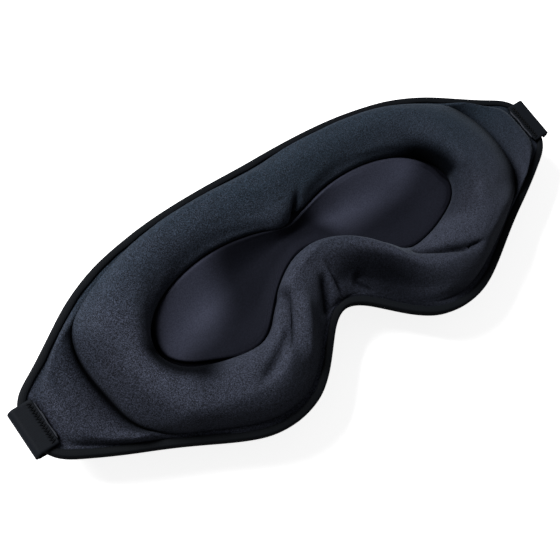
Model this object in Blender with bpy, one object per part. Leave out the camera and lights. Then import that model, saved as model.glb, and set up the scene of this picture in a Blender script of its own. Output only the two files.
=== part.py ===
"""Contoured sleep eye mask with a two-part strap and slider, built from its separate pieces.

Frame: metres, +Z up; sizes below are in millimetres.  The mask lies face side up:
+X runs to the wearer's-right tip, +Y to the forehead edge, and Z = 0 is the
table under the folded-back strap.  The flat border lies at Z = FLANGE_Z.

Every sheet of the body is one loft over the same set of plan curves
(outline, foot of the padded ring, crest of the ring, cavity edge, cavity
middle), so neighbouring sheets nest with a small constant gap.
"""
import math

import bmesh
import bpy
from mathutils import Vector

# ------------------------------------------------------------------ sizes, mm
MM = 0.001               # metres in a millimetre
FLANGE_Z = 18.2          # height of the border's middle plane above the table
COLUMNS = 96             # columns of the loft around the mask
GAP = 0.2                # clearance between neighbouring soft layers
SKIN_T = 0.5             # face lining fabric
LINING_Z = 0.5           # upper face of the eye cup lining on the flat border
SHEET_INSET = 0.9        # rim of every sheet, in from the outline

STRAP_Y = 1.55           # middle of the webbing
STRAP_W = 17.8           # webbing width
STRAP_T = 1.0            # webbing thickness
BAND_Z = 4.6             # middle of the long strap over the table
LOOP_TOP_Z = 3.3         # middle of the loop's upper layer over the table
TAIL_X = 50.0            # free end of the long strap
LOOP_BAR_X, LOOP_BAR_Z = 5.6, 1.95   # middle of the bar that carries the short strap's loop

# Plan curves of the right half, from the middle of the forehead edge round the
# tip to the nose.  Columns, each (x, y): outline, ring foot, ring crest, cavity
# edge, cavity middle.
STATIONS = [
    ((0, 46.3), (0, 41.9), (0, 32.5), (0, 17.0), (0, 13.2)),
    ((15, 46.5), (15, 42.0), (13, 33.5), (9, 20.8), (8, 12.4)),
    ((30, 46.2), (29.6, 41.7), (28, 34), (25, 22.8), (20, 10)),
    ((44, 45.2), (43.2, 40.7), (41, 33), (38, 22.6), (30, 8)),
    ((57, 43.2), (55.6, 38.8), (53.5, 30.5), (49, 20.5), (38, 6.5)),
    ((70, 40.2), (67.5, 35.6), (64.5, 26.3), (58.5, 17), (44, 5)),
    ((84, 34.3), (79, 30.2), (73.5, 20.3), (65, 11.5), (48, 4)),
    ((96, 26.7), (87.5, 24.2), (79.0, 13.5), (68, 6.5), (50, 2.5)),
    ((106, 20.2), (92, 17.5), (81.3, 6.5), (68.8, 2), (51, 1)),
    ((116, 13.8), (94.5, 8), (82.0, 1), (68.5, -1), (51, 0)),
    ((119.2, 2.4), (95, 0), (81.4, -5), (67, -4.5), (50, -1)),
    ((116.2, -9.0), (94.5, -8), (79.2, -11.5), (64, -8), (48, -2)),
    ((106, -15.8), (92, -15.4), (75.2, -17.5), (59.5, -10.3), (45, -2.5)),
    ((95, -21.7), (87, -20.8), (69.5, -21.8), (54, -12.5), (41, -3)),
    ((84, -27.0), (79, -25.2), (62.5, -25.3), (48.5, -14.2), (37, -3)),
    ((74, -32.3), (70.5, -29.4), (55, -28), (43.5, -15.2), (33, -2.5)),
    ((62, -39.0), (59.6, -34.9), (47.5, -29.4), (39, -15.6), (29, -1.5)),
    ((51.5, -43.5), (50.6, -38.8), (40.5, -28.8), (35.5, -15.2), (25, 0.5)),
    ((41.5, -44.7), (41.5, -40.1), (34.5, -26.5), (32, -13.8), (21, 3)),
    ((33.5, -43.6), (35.0, -39.3), (29.8, -22.5), (28.5, -11.3), (17, 6)),
    ((27, -41.2), (29.5, -37.5), (25, -16.5), (24, -7), (13, 8.2)),
    ((20, -36.2), (23.4, -33.2), (20.5, -10.5), (19, -2.2), (9, 9.7)),
    ((13, -29.4), (16.6, -26.6), (15, -5), (13, 1.8), (6, 10.4)),
    ((6.5, -23.3), (9.0, -19.5), (8.5, -0.6), (7, 4.6), (3, 10.7)),
    ((0, -20.6), (0, -16.2), (0, 1.4), (0, 6), (0, 10.8)),
]
PLAN_SHIFT_Y = 0.9       # the plan points above are drawn this far towards +Y
HALF_STATIONS = len(STATIONS) - 1
ALL_STATIONS = 2 * HALF_STATIONS

# Base colour and roughness of each piece's material.
PADDING = ((0.100, 0.100, 0.110), 0.95)
WEBBING = ((0.010, 0.012, 0.018), 0.75)
THREAD = ((0.016, 0.018, 0.024), 0.60)
FINISHES = {
    "front_cover": ((0.010, 0.011, 0.016), 0.85),
    "shell_foam": ((0.060, 0.062, 0.070), 0.95),
    "eye_cup_lining": ((0.012, 0.012, 0.018), 0.85),
    "ring_foam": PADDING,
    "wing_foam_left": PADDING,
    "wing_foam_right": PADDING,
    "face_liner": ((0.014, 0.016, 0.024), 0.82),
    "edge_binding": ((0.006, 0.007, 0.010), 0.70),
    "strap_end_left": WEBBING,
    "strap_end_right": WEBBING,
    "end_stitch_left": THREAD,
    "end_stitch_right": THREAD,
    "strap_long": WEBBING,
    "tail_stitch": THREAD,
    "strap_short": WEBBING,
    "loop_stitch": THREAD,
    "slider": ((0.008, 0.008, 0.009), 0.35),
}

for old in list(bpy.data.objects):
    bpy.data.objects.remove(old, do_unlink=True)


# ------------------------------------------------------------------ objects
def make_material(name):
    colour, roughness = FINISHES[name]
    material = bpy.data.materials.new(name)
    material.use_nodes = True
    shader = material.node_tree.nodes["Principled BSDF"]
    shader.inputs["Base Color"].default_value = (*colour, 1)
    shader.inputs["Roughness"].default_value = roughness
    shader.inputs["Metallic"].default_value = 0.0
    return material


def add_object(name, bm, axis=None):
    """Link a mesh drawn in mm; with an axis, it is parented there and shares its origin."""
    origin = tuple(axis["at"]) if axis else (0, 0, 0)
    for vert in bm.verts:
        vert.co = [(c - o) * MM for c, o in zip(vert.co, origin)]
    mesh = bpy.data.meshes.new(name)
    bm.to_mesh(mesh)
    bm.free()
    obj = bpy.data.objects.new(name, mesh)
    bpy.context.scene.collection.objects.link(obj)
    if axis:
        obj.parent = axis
    return obj


def finish(name, bm, smooth_faces=True, axis=None):
    """Turn a piece's mesh into its object, with shading and material."""
    bmesh.ops.recalc_face_normals(bm, faces=bm.faces)
    obj = add_object(name, bm, axis)
    for poly in obj.data.polygons:
        poly.use_smooth = smooth_faces
    obj.data.materials.append(make_material(name))
    return obj


def add_axis(name, position, parent=None):
    """Empty that straps hang from; its "at" property keeps its place in the frame, in mm."""
    axis = bpy.data.objects.new(name, None)
    axis.empty_display_size = 0.01
    bpy.context.scene.collection.objects.link(axis)
    base = (0, 0, 0)
    if parent:
        axis.parent = parent
        base = tuple(parent["at"])
    axis.location = [(p - b) * MM for p, b in zip(position, base)]
    axis["at"] = list(position)
    return axis


# ------------------------------------------------------------------ plan curves
def smooth(start, end, x):
    """Smoothstep from 0 at start to 1 at end."""
    t = min(1.0, max(0.0, (x - start) / (end - start)))
    return t * t * (3 - 2 * t)


def catmull(before, start, end, after, t):
    """Catmull-Rom point between start and end."""
    return tuple(
        0.5 * (2 * b + (c - a) * t + (2 * a - 5 * b + 4 * c - d) * t * t
               + (3 * b - a - 3 * c + d) * t ** 3)
        for a, b, c, d in zip(before, start, end, after))


def full_curve(half):
    """Mirror a half curve and sample it evenly in its parameter, COLUMNS times."""
    mirrored = [(-x, y) for x, y in reversed(half[1:-1])]
    ring = [(x, y - PLAN_SHIFT_Y) for x, y in half + mirrored]
    count = len(ring)
    points = []
    for i in range(COLUMNS):
        place = i * count / COLUMNS
        k = int(place)
        points.append(catmull(ring[k - 1], ring[k], ring[(k + 1) % count],
                              ring[(k + 2) % count], place - k))
    return points


OUTLINE, FOOT, CREST, EDGE, MIDDLE = (full_curve(list(half)) for half in zip(*STATIONS))


def station(column):
    """Station number of a column, counted from the forehead to the nose."""
    place = column * ALL_STATIONS / COLUMNS
    return place if place <= HALF_STATIONS else ALL_STATIONS - place


def inset(distance):
    """The outline moved inward."""
    points = []
    for i, (x, y) in enumerate(OUTLINE):
        before, after = OUTLINE[i - 1], OUTLINE[(i + 1) % COLUMNS]
        dx, dy = after[0] - before[0], after[1] - before[1]
        length = math.hypot(dx, dy)
        points.append((x + distance * dy / length, y - distance * dx / length))
    return points


def blend(start, end, t):
    """Curve a share t of the way from one curve to another."""
    return [(p[0] + (q[0] - p[0]) * t, p[1] + (q[1] - p[1]) * t) for p, q in zip(start, end)]


# ------------------------------------------------------------------ lofting
def rows_to_mesh(rows, closed_columns=True):
    """Skin a table of points rows[level][column]; the section closes on itself.

    The first half of the levels is an upper sheet and the rest the sheet below it, and both
    split their faces along the same diagonal, so that nested sheets keep their gap.
    """
    bm = bmesh.new()
    grid = [[bm.verts.new(p) for p in row] for row in rows]
    columns = len(rows[0])
    levels = len(rows)
    for a in range(levels):
        b = (a + 1) % levels
        for i in range(columns if closed_columns else columns - 1):
            j = (i + 1) % columns
            quad = (grid[a][i], grid[a][j], grid[b][j], grid[b][i])
            if a >= levels // 2:
                quad = quad[1:] + quad[:1]
            bm.faces.new((quad[0], quad[1], quad[2]))
            bm.faces.new((quad[0], quad[2], quad[3]))
    if not closed_columns:
        bm.faces.new([row[0] for row in grid])
        bm.faces.new([row[-1] for row in reversed(grid)])
    return bm, grid


def level(plan, heights):
    """Lift a plan curve over the border's plane, by one height or one per column."""
    if not isinstance(heights, list):
        heights = [heights] * COLUMNS
    return [(x, y, FLANGE_Z + z) for (x, y), z in zip(plan, heights)]


def offset_rows(rows, distance):
    """Move a table of points along its own downward normals."""
    moved = []
    last = len(rows) - 1
    for a, row in enumerate(rows):
        new = []
        for i in range(COLUMNS):
            along = Vector(row[(i + 1) % COLUMNS]) - Vector(row[i - 1])
            across = Vector(rows[min(a + 1, last)][i]) - Vector(rows[max(a - 1, 0)][i])
            normal = along.cross(across).normalized()
            if normal.z > 0:
                normal = -normal
            new.append(tuple(Vector(row[i]) + normal * distance))
        moved.append(new)
    return moved


# ------------------------------------------------------------------ face liner
RING_H = 12.0                # crest of the padded ring over the border's plane
ARCH_H = 10.5                # crest of the ring over the nose
WING_H = 4.8                 # padded height of the temple wings
FACE_Z = 1.2                 # face lining's height on the flat border
PANEL_INSET = 3.4            # edge of the padded panel, in from the outline
ARCH_STATIONS = (19.5, 22.5)         # the ring's crest sinks to the arch here
WING_RISE_STATIONS = (5.6, 8.0)      # the wing's padding grows here
WING_FALL_STATIONS = (12.2, 14.4)    # and fades out here
# Points by station where the panel keeps clear of the strap's lap at the tip.
TIP_PANEL = {8: (103.8, 16.4), 9: (109.8, 10.8), 10: (110.5, 2.4), 11: (109.8, -6.2),
             12: (103.8, -12.0)}


def panel_edge():
    """Where the temple wing's padding starts: at the border, or at the strap's lap."""
    near = inset(PANEL_INSET)
    half = []
    for k in range(HALF_STATIONS + 1):
        x, y = near[k * COLUMNS // ALL_STATIONS]
        half.append(TIP_PANEL.get(k, (x, y + PLAN_SHIFT_Y)))
    return full_curve(half)


def wing_share(column):
    """How far a column belongs to a temple wing, 0 to 1."""
    place = station(column)
    return smooth(*WING_RISE_STATIONS, place) * (1 - smooth(*WING_FALL_STATIONS, place))


def per_column(plain, wing):
    return [plain + (wing - plain) * wing_share(i) for i in range(COLUMNS)]


PANEL = panel_edge()
CREST_H = [RING_H + (ARCH_H - RING_H) * smooth(*ARCH_STATIONS, station(i))
           for i in range(COLUMNS)]

# Upper face of the liner, from the rim in to the cavity edge.
FACE_ROWS = [
    level(inset(SHEET_INSET), FACE_Z),
    level(inset(3.0), FACE_Z),
    level(PANEL, FACE_Z + 0.1),
    level(blend(PANEL, FOOT, 0.18), per_column(1.9, 3.6)),
    level(blend(PANEL, FOOT, 0.50), per_column(2.3, WING_H)),
    level(blend(PANEL, FOOT, 0.85), per_column(2.6, WING_H - 0.5)),
    level(FOOT, per_column(3.0, 3.4)),
    level(blend(FOOT, CREST, 0.10), [h * 0.54 for h in CREST_H]),
    level(blend(FOOT, CREST, 0.35), [h * 0.86 for h in CREST_H]),
    level(CREST, CREST_H),
    level(blend(CREST, EDGE, 0.45), [h - 0.8 for h in CREST_H]),
    level(blend(CREST, EDGE, 0.85), [h - 3.6 for h in CREST_H]),
    level(blend(CREST, EDGE, 0.97), [h - 6.6 for h in CREST_H]),
    level(EDGE, LINING_Z + GAP + 0.05),
]
# Rows that bound the padding: outer and inner wing, outer ring, ring crest, cavity edge.
WING_OUT, WING_IN, RING_OUT, RING_CREST, CAVITY = 3, 5, 7, 9, 13

# The underside drops straight down at the rim and stays level with the top at the cavity.
under_rows = offset_rows(FACE_ROWS, SKIN_T)
under_rows[0] = [(x, y, z - SKIN_T) for x, y, z in FACE_ROWS[0]]
under_rows[-1] = [(x, y, face[2]) for (x, y, _), face in zip(under_rows[-1], FACE_ROWS[-1])]
liner, _ = rows_to_mesh(FACE_ROWS + under_rows[::-1])
finish("face_liner", liner)

# ------------------------------------------------------------------ padding
PAD_FLOOR = FLANGE_Z + LINING_Z + GAP
PAD_MIN_T = 0.3                      # least height of the ring foam at the cavity
WING_FOAM_STATIONS = (7.5, 12.5)     # ends of the wing foam
PAD = offset_rows(FACE_ROWS, SKIN_T + GAP)


def at_floor(row):
    return [(x, y, PAD_FLOOR) for x, y, _ in row]


cavity_row = [(x, y, max(z, PAD_FLOOR + PAD_MIN_T)) for x, y, z in PAD[CAVITY]]
ring, _ = rows_to_mesh(PAD[RING_OUT:CAVITY] + [cavity_row]
                       + [at_floor(PAD[k]) for k in (CAVITY, RING_CREST, RING_OUT)])
finish("ring_foam", ring)

first, last = (int(s * COLUMNS / ALL_STATIONS) for s in WING_FOAM_STATIONS)
wing_top = PAD[WING_OUT:WING_IN + 1]
wing_rows = wing_top + [at_floor(row) for row in reversed(wing_top)]
for name, start, end in (("wing_foam_right", first, last),
                         ("wing_foam_left", COLUMNS - last, COLUMNS - first)):
    wing, _ = rows_to_mesh([row[start:end + 1] for row in wing_rows], closed_columns=False)
    finish(name, wing)

# ------------------------------------------------------------------ cup and dome sheets
LINING_T = 0.35
COVER_T = 0.4
CUP_DEPTH = 6.7          # depth of the eye cups under the lining's flat part
CUP_NOSE_SHARE = 0.2     # share of that depth left over the nose
CUP_FADE_X = (4, 24)     # where the cups deepen, out from the nose
DOME_DEPTH = 11.5        # how far the front domes stand out of the border plane
DOME_RIM_DEPTH = 1.25    # front face under the border plane at the rim
DOME_NOSE_SHARE = 0.38   # share of the domes' rise left in the saddle
DOME_FADE_X = (5, 30)    # where the domes grow, out from the saddle

# Plan curve, share of the cup depth, share of the dome depth.
SHEET_LEVELS = [
    (inset(SHEET_INSET), 0, 0),
    (inset(3.4), 0, 0),
    (FOOT, 0, 0.03),
    (blend(FOOT, CREST, 0.5), 0, 0.18),
    (CREST, 0, 0.40),
    (blend(CREST, EDGE, 0.5), 0, 0.60),
    (EDGE, 0, 0.78),
    (blend(EDGE, MIDDLE, 0.2), 0.30, 0.86),
    (blend(EDGE, MIDDLE, 0.5), 0.72, 0.95),
    (MIDDLE, 1.0, 1.0),
]


def below_cups(drop):
    """Surface under the eye cup lining's upper face; the cups shallow out over the nose."""
    def height(x, cup, dome):
        fade = CUP_NOSE_SHARE + (1 - CUP_NOSE_SHARE) * smooth(*CUP_FADE_X, abs(x))
        return LINING_Z - CUP_DEPTH * cup * fade - drop
    return height


def above_domes(rise):
    """Surface over the mask's front face, which is two domes with a saddle between them."""
    def height(x, cup, dome):
        fade = DOME_NOSE_SHARE + (1 - DOME_NOSE_SHARE) * smooth(*DOME_FADE_X, abs(x))
        return -DOME_RIM_DEPTH - (DOME_DEPTH - DOME_RIM_DEPTH) * dome * fade + rise
    return height


def cap_loop(bm, loop):
    """Fill a middle loop with triangles, mirrored about the YZ plane."""
    half = COLUMNS // 2
    for i in range(half // 2):
        right = (i, i + 1, half - i - 1, half - i)
        left = ((COLUMNS - i) % COLUMNS, COLUMNS - i - 1, half + i + 1, half + i)
        for a, b, c, d in (right, left):
            for triangle in ((a, b, c), (a, c, d)):
                if len(set(triangle)) == 3:
                    bm.faces.new([loop[k] for k in triangle])


def sheet(name, top, bottom):
    def surface(height):
        return [[(x, y, FLANGE_Z + height(x, cup, dome)) for x, y in plan]
                for plan, cup, dome in SHEET_LEVELS]

    bm, grid = rows_to_mesh(surface(top) + surface(bottom)[::-1])
    # Replace the strip between the two middle loops by two caps.
    loops = grid[len(SHEET_LEVELS) - 1:len(SHEET_LEVELS) + 1]
    middle = set(loops[0] + loops[1])
    strip = [f for f in bm.faces if all(v in middle for v in f.verts)]
    bmesh.ops.delete(bm, geom=strip, context="FACES_ONLY")
    for loop in loops:
        cap_loop(bm, loop)
    finish(name, bm)


sheet("eye_cup_lining", top=below_cups(0), bottom=below_cups(LINING_T))
sheet("shell_foam", top=below_cups(LINING_T + GAP), bottom=above_domes(COVER_T + GAP))
sheet("front_cover", top=above_domes(COVER_T), bottom=above_domes(0))

# ------------------------------------------------------------------ edge binding
BORDER_W = 2.8           # width of the edge binding on each face
BORDER_HALF_T = 1.9      # half thickness of the bound edge
SLOT_HALF_T = 1.4        # half thickness of the slot that takes the sheets' rims
SLOT_INSET = 0.6         # bottom of that slot, in from the outline
# Section of the binding: inset from the outline, height over the border's plane.
BINDING = [
    (BORDER_W, SLOT_HALF_T), (BORDER_W, BORDER_HALF_T), (0.5, BORDER_HALF_T), (0, 1.3),
    (0, -1.3), (0.5, -BORDER_HALF_T), (BORDER_W, -BORDER_HALF_T), (BORDER_W, -SLOT_HALF_T),
    (SLOT_INSET, -SLOT_HALF_T), (SLOT_INSET, SLOT_HALF_T),
]
binding, _ = rows_to_mesh([level(inset(depth), z) for depth, z in BINDING])
finish("edge_binding", binding)


# ------------------------------------------------------------------ XZ section tools
def ellipse(centre, radii, start_deg, end_deg, steps):
    """Points (x, z) along an elliptical arc."""
    points = []
    for k in range(steps + 1):
        angle = math.radians(start_deg + (end_deg - start_deg) * k / steps)
        points.append((centre[0] + radii[0] * math.cos(angle),
                       centre[1] + radii[1] * math.sin(angle)))
    return points


def mirror(path):
    """The path on the other side of the mask, run backwards."""
    return [(-x, z) for x, z in reversed(path)]


def prism(points, y_start, y_end):
    """Extrude an outline in the XZ plane along Y."""
    bm = bmesh.new()
    near = [bm.verts.new((x, y_start, z)) for x, z in points]
    far = [bm.verts.new((x, y_end, z)) for x, z in points]
    count = len(points)
    for i in range(count):
        j = (i + 1) % count
        bm.faces.new((near[i], near[j], far[j], far[i]))
    bm.faces.new(near)
    bm.faces.new(far[::-1])
    bmesh.ops.recalc_face_normals(bm, faces=bm.faces)
    return bm


def ribbon(name, path, round_start=False, round_end=False, axis=None):
    """Webbing with its middle line in the XZ plane, extruded across Y."""
    radius = STRAP_T / 2
    one_side, other_side = [], []
    last = len(path) - 1
    for i, (x, z) in enumerate(path):
        before, after = path[max(i - 1, 0)], path[min(i + 1, last)]
        dx, dz = after[0] - before[0], after[1] - before[1]
        length = math.hypot(dx, dz)
        nx, nz = -dz / length * radius, dx / length * radius
        one_side.append((x + nx, z + nz))
        other_side.append((x - nx, z - nz))

    def round_cap(centre, start):
        angle = math.degrees(math.atan2(start[1] - centre[1], start[0] - centre[0]))
        return ellipse(centre, (radius, radius), angle - 45, angle - 135, 2)

    section = list(one_side)
    if round_end:
        section += round_cap(path[-1], one_side[-1])
    section += other_side[::-1]
    if round_start:
        section += round_cap(path[0], other_side[0])
    bm = prism(section, STRAP_Y - STRAP_W / 2, STRAP_Y + STRAP_W / 2)
    finish(name, bm, smooth_faces=False, axis=axis)


# ------------------------------------------------------------------ strap ends at the tips
WRAP_CENTRE = (-118.6, FLANGE_Z)     # middle of the webbing's wrap round the left tip
WRAP_RADII = (1.7, 2.6)              # wrap's reach past that middle, and its half height
LAP_X = 111.4                        # inner end of the sewn lap
HINGE_DEG = 240.0                    # where the webbing leaves its wrap
WRAP_STOP_DEG = HINGE_DEG - 24       # where the sewn end stops, clear of the strap

lap_z = FLANGE_Z + WRAP_RADII[1]
left_end = [(-LAP_X, lap_z), ((WRAP_CENTRE[0] - LAP_X) / 2, lap_z)]
left_end += ellipse(WRAP_CENTRE, WRAP_RADII, 90, WRAP_STOP_DEG, 10)
ribbon("strap_end_left", left_end)
ribbon("strap_end_right", mirror(left_end))

# ------------------------------------------------------------------ axes
HINGE_X, HINGE_Z = ellipse(WRAP_CENTRE, WRAP_RADII, HINGE_DEG, HINGE_DEG, 1)[0]
left_axis = add_axis("left_fold_axis", (HINGE_X, STRAP_Y, HINGE_Z))
slider_axis = add_axis("slider_axis", (0.0, STRAP_Y, BAND_Z), left_axis)
loop_axis = add_axis("loop_axis", (LOOP_BAR_X, STRAP_Y, LOOP_BAR_Z), slider_axis)


# ------------------------------------------------------------------ long and short straps
RAMP_CURVE_SHARE = 0.35  # share of the curve in a ramp; the rest is a straight line
RAMP_STEPS = 10
SHORT_END_INSET = 1.4    # short strap's end, inward of the mirrored hinge
SHORT_END_DROP = 0.95    # and below it


def ramp(start, end, steepness):
    """Webbing's way down: a straight line mixed with a Hermite curve that ends flat.

    The curve starts at steepness times the mean slope.
    """
    width, rise = end[0] - start[0], end[1] - start[1]
    points = []
    for k in range(RAMP_STEPS + 1):
        t = k / RAMP_STEPS
        curve = ((2 * t ** 3 - 3 * t * t + 1) * start[1]
                 + (t ** 3 - 2 * t * t + t) * steepness * rise
                 + (-2 * t ** 3 + 3 * t * t) * end[1])
        line = start[1] + rise * t
        points.append((start[0] + width * t,
                       RAMP_CURVE_SHARE * curve + (1 - RAMP_CURVE_SHARE) * line))
    return points


long_path = ramp((HINGE_X, HINGE_Z), (-60.0, BAND_Z), 1.6)
long_path += [(-20.0, BAND_Z), (15.0, BAND_Z), (TAIL_X, BAND_Z)]
ribbon("strap_long", long_path, round_start=True, axis=left_axis)

# The short strap runs from its sewn-back end, round the bar, and out to the right tip.
loop_radius = LOOP_TOP_Z - LOOP_BAR_Z
short_path = [
    (21.0, LOOP_TOP_Z - STRAP_T - 0.3), (17.0, LOOP_TOP_Z - STRAP_T - 0.45),
    (11.5, 0.85), (LOOP_BAR_X + 1.1, LOOP_BAR_Z - loop_radius),
]
short_path += ellipse((LOOP_BAR_X, LOOP_BAR_Z), (loop_radius, loop_radius), 270, 90, 12)
short_path += [(20.0, LOOP_TOP_Z), (40.0, LOOP_TOP_Z)]
short_path += mirror(ramp((HINGE_X + SHORT_END_INSET, HINGE_Z - SHORT_END_DROP),
                          (-62.0, LOOP_TOP_Z), 1.3))
ribbon("strap_short", short_path, round_end=True, axis=loop_axis)

# ------------------------------------------------------------------ stitches
THREAD_R = 0.15          # half the thread's square section
TURN_REACH = 0.2         # outer corner of a turn, along X
STITCH_MARGIN = 1.2      # from the webbing's edge to the stitch
STITCH_LIFT = 0.2        # thread's middle over the webbing's face
LAP_STITCH_X = 113.2


def zigzag(name, x_middle, half_width, z_middle, passes, axis=None):
    """One thread in a zigzag across the webbing, mitred at every turn; passes is odd."""
    y_start = STRAP_Y - STRAP_W / 2 + STITCH_MARGIN
    y_end = STRAP_Y + STRAP_W / 2 - STITCH_MARGIN
    dx, dy = 2 * half_width, (y_end - y_start) / passes
    length = math.hypot(dx, dy)
    mitre = THREAD_R * length / dy              # inner corner of a turn, along X
    end_x, end_y = -dy / length * THREAD_R, dx / length * THREAD_R
    bm = bmesh.new()
    rings = []
    for k in range(passes + 1):
        x = x_middle + (half_width if k % 2 else -half_width)
        y = y_start + (y_end - y_start) * k / passes
        if k in (0, passes):
            left, right = (x + end_x, y + end_y), (x - end_x, y - end_y)
        elif k % 2:
            left, right = (x - mitre, y), (x + TURN_REACH, y)
        else:
            left, right = (x - TURN_REACH, y), (x + mitre, y)
        low, high = z_middle - THREAD_R, z_middle + THREAD_R
        corners = ((*left, low), (*right, low), (*right, high), (*left, high))
        rings.append([bm.verts.new(corner) for corner in corners])
    for a, b in zip(rings, rings[1:]):
        for k in range(4):
            j = (k + 1) % 4
            bm.faces.new((a[k], a[j], b[j], b[k]))
    bm.faces.new(rings[0][::-1])
    bm.faces.new(rings[-1])
    finish(name, bm, smooth_faces=False, axis=axis)


for side, sign in (("left", -1), ("right", 1)):
    zigzag("end_stitch_" + side, x_middle=sign * LAP_STITCH_X, half_width=1.2,
           z_middle=lap_z + STRAP_T / 2 + STITCH_LIFT, passes=17)
zigzag("tail_stitch", x_middle=TAIL_X - 3.2, half_width=1.0,
       z_middle=BAND_Z + STRAP_T / 2 + STITCH_LIFT, passes=15, axis=left_axis)
# This one lies under the loop's sewn-back lower layer.
zigzag("loop_stitch", x_middle=18.6, half_width=0.9,
       z_middle=LOOP_TOP_Z - 1.5 * STRAP_T - 0.62, passes=15, axis=loop_axis)

# ------------------------------------------------------------------ slider
RAIL_IN = STRAP_W / 2 + 0.6      # rails' inner faces, from the webbing's middle
RAIL_OUT = STRAP_W / 2 + 2.8     # and their outer faces
BAR_REACH = RAIL_IN + 1.2        # bars run this far, into the rails
BAR_CHAMFER = 0.25
ROUND_BAR_R = 0.55               # the loop turns on this bar
# Flat bars: x from, x to, z from, z to.
FLAT_BARS = [(-7.6, -5.4, 2.7, 3.8), (-1.1, 1.1, 5.4, 6.4)]
# Outline of a side rail, (x, z).
RAIL = [(-7.6, 0.9), (-6.8, 0.0), (6.3, 0.0), (7.1, 0.8),
        (7.1, 3.9), (2.2, 6.4), (-2.2, 6.4), (-7.6, 3.9)]


def chamfered_box(x0, x1, z0, z1):
    c = BAR_CHAMFER
    return [(x0 + c, z0), (x1 - c, z0), (x1, z0 + c), (x1, z1 - c),
            (x1 - c, z1), (x0 + c, z1), (x0, z1 - c), (x0, z0 + c)]


slider = finish("slider", prism(RAIL, STRAP_Y - RAIL_OUT, STRAP_Y - RAIL_IN),
                smooth_faces=False, axis=slider_axis)

# The other rail and the bars are hidden helpers, joined to the first rail.
round_bar = ellipse((LOOP_BAR_X, LOOP_BAR_Z), (ROUND_BAR_R, ROUND_BAR_R), 0, 360, 24)[:-1]
bar_outlines = [chamfered_box(*bar) for bar in FLAT_BARS] + [round_bar]
parts = [(RAIL, RAIL_IN, RAIL_OUT)]
parts += [(outline, -BAR_REACH, BAR_REACH) for outline in bar_outlines]
for k, (outline, start, end) in enumerate(parts):
    helper = add_object("cut_%d" % k, prism(outline, STRAP_Y + start, STRAP_Y + end),
                        slider_axis)
    helper.hide_render = True
    helper.display_type = "WIRE"
    join = slider.modifiers.new("join_%d" % k, "BOOLEAN")
    join.operation = "UNION"
    join.solver = "EXACT"
    join.object = helper
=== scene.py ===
"""Contoured sleep eye mask: fabric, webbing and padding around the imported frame.

The mask lies face side up. +Y is the forehead edge and -Y the nose edge, the "left" half
has negative X, and the straps run back underneath. Lengths are in millimetres unless noted.
"""
import math

import bmesh
import bpy
import numpy as np
from mathutils import Matrix, Vector


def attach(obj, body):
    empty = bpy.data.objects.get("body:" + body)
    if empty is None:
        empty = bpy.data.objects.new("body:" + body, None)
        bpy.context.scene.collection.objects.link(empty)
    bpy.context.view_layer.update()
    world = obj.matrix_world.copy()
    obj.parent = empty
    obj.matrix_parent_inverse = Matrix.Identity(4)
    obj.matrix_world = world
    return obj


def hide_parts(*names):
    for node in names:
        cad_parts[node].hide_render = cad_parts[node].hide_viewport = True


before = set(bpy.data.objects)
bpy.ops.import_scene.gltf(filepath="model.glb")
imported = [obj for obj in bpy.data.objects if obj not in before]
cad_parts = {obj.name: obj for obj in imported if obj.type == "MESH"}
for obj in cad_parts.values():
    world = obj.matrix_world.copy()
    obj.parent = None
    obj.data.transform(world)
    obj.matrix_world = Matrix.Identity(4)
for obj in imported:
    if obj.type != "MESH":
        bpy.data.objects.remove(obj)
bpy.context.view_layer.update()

MM = 0.001                      # millimetres to metres
MID_Z = 18.2                    # height of the border's middle plane
MIDDLE_Y = 0.9                  # the plan curves are drawn this far forward of the origin
N = 576                         # columns round the mask
COLUMNS_PER_STATION = N // 48

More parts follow.
